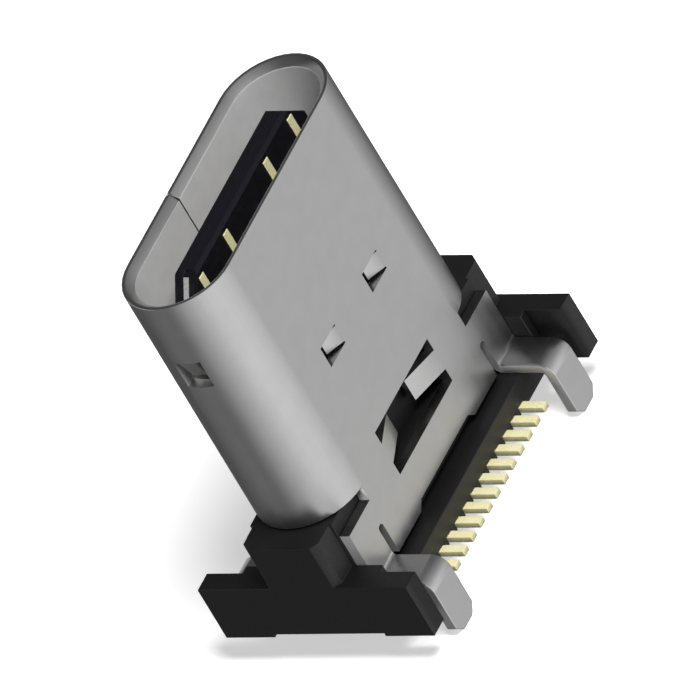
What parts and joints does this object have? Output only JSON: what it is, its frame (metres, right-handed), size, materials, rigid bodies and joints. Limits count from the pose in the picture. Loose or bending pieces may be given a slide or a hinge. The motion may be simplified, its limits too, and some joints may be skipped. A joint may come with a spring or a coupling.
{
  "type": "usb-c socket",
  "caption": "Vertical board-mounted data and charging socket: folded steel shell with bent through-board legs round a black housing, a tongue and contact rows with surface solder tails",
  "frame": {"origin": "on the board's surface, at the middle of the mouth's slot", "axes": "+Z out of the mouth, away from the board; +X along the slot's width; -Y toward contact row A"},
  "size_m": [0.0102, 0.0064, 0.012],
  "materials": {
    "shell": "cold-rolled stainless sheet, satin",
    "housing": "glass-filled moulding resin, black",
    "tongue": "liquid crystal polymer, black",
    "plates": "stamped stainless plate",
    "contacts": "gold-plated copper alloy"
  },
  "bodies": {
    "root": {"shell": "shell", "housing": "housing", "carrier_a": "tongue", "carrier_b": "tongue", "mid_plate": "plates", "ground_plate_a": "plates", "ground_plate_b": "plates", "contact_a1": "contacts", "contact_a2": "contacts", "contact_a3": "contacts", "contact_a4": "contacts", "contact_a5": "contacts", "contact_a6": "contacts", "contact_a7": "contacts", "contact_a8": "contacts", "contact_a9": "contacts", "contact_a10": "contacts", "contact_a11": "contacts", "contact_a12": "contacts", "contact_b1": "contacts", "contact_b2": "contacts", "contact_b3": "contacts", "contact_b4": "contacts", "contact_b5": "contacts", "contact_b6": "contacts", "contact_b7": "contacts", "contact_b8": "contacts", "contact_b9": "contacts", "contact_b10": "contacts", "contact_b11": "contacts", "contact_b12": "contacts"}
  },
  "joints": []
}
